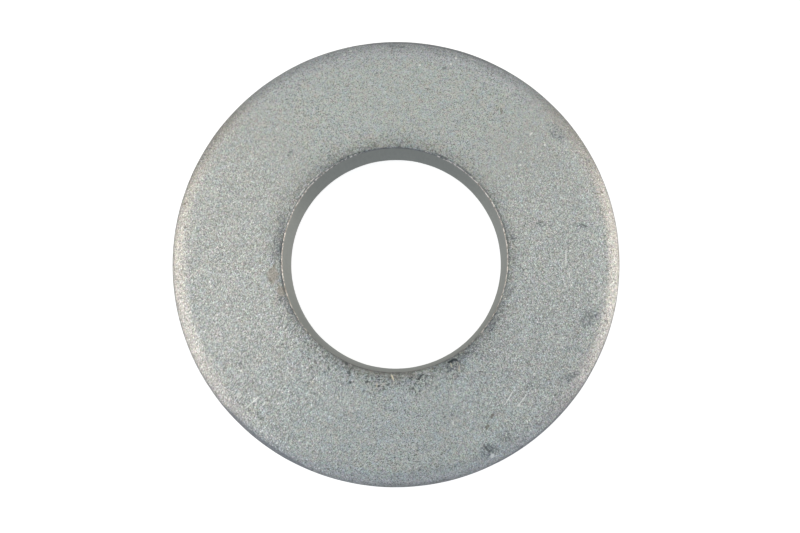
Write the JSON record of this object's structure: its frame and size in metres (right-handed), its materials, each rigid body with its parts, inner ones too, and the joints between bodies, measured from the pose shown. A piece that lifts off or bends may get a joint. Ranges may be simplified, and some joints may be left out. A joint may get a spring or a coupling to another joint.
{
  "type": "conical spring washer",
  "caption": "Thick steel ring pressed into a shallow cone, which goes under a bolt head or nut and springs back to keep the joint tight.",
  "frame": {"origin": "centre of the circle that the washer rests on, in the plane of its wide rim", "axes": "+Z along the bore axis, from the hollow side to the domed side; X and Y are alike"},
  "size_m": [0.045, 0.045, 0.0062],
  "materials": {
    "zinc_plated_steel": "dull grey zinc plate over spring steel, finely grained and pitted, darker and stained beside the bore"
  },
  "bodies": {
    "root": {"conical_spring_washer": "zinc_plated_steel"}
  },
  "joints": []
}
